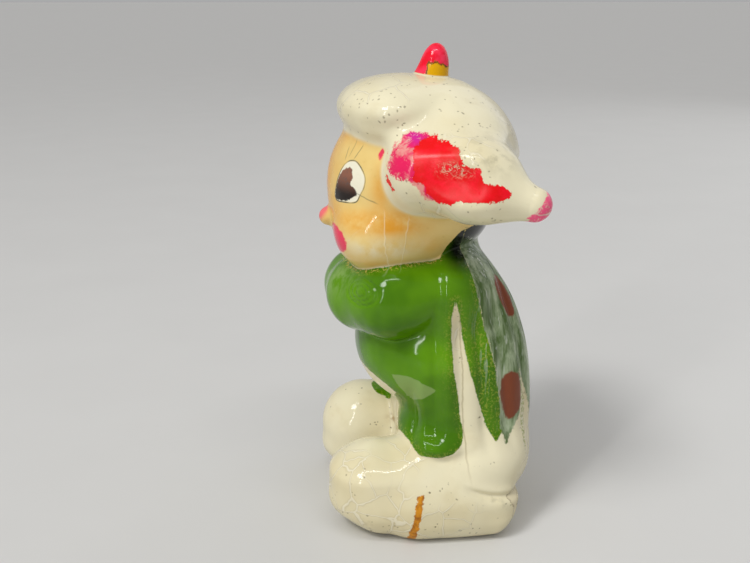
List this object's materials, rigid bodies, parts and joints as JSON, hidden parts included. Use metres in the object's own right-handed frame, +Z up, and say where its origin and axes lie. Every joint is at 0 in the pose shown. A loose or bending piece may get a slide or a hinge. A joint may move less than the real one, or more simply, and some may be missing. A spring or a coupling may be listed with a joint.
{
  "type": "figural salt shaker",
  "caption": "Hollow glazed ceramic shaker shaped as a seated pixie with a cap, swept-back ears, folded wings and big feet, poured from holes at the back of the cap and closed below by a cork.",
  "frame": {"origin": "centre of the bounding box at the base, on the surface the figure stands on", "axes": "+Z up through the antenna, +X towards the figure's own left side, -Y the way it faces"},
  "size_m": [0.0554, 0.0402, 0.0886],
  "materials": {
    "green_glaze": "gloss",
    "dark_green_glaze": "gloss",
    "flesh_glaze": "gloss",
    "cream_glaze": "gloss",
    "pink_paint": "gloss",
    "red_paint": "gloss",
    "cork": "matte"
  },
  "bodies": {
    "figurine": {"torso": "green_glaze", "head": "flesh_glaze", "cap": "cream_glaze", "left_ear": "cream_glaze", "right_ear": "cream_glaze", "left_arm": "green_glaze", "right_arm": "green_glaze", "left_wing": "dark_green_glaze", "right_wing": "dark_green_glaze", "left_leg": "cream_glaze", "right_leg": "cream_glaze", "nose": "pink_paint", "antenna": "red_paint"},
    "plug": {"stopper": "cork"}
  },
  "joints": [
    {"name": "stopper_slide", "type": "slide", "parent": "figurine", "child": "plug", "axis": [0, 0, -1], "range_m": [0, 0.014]}
  ]
}
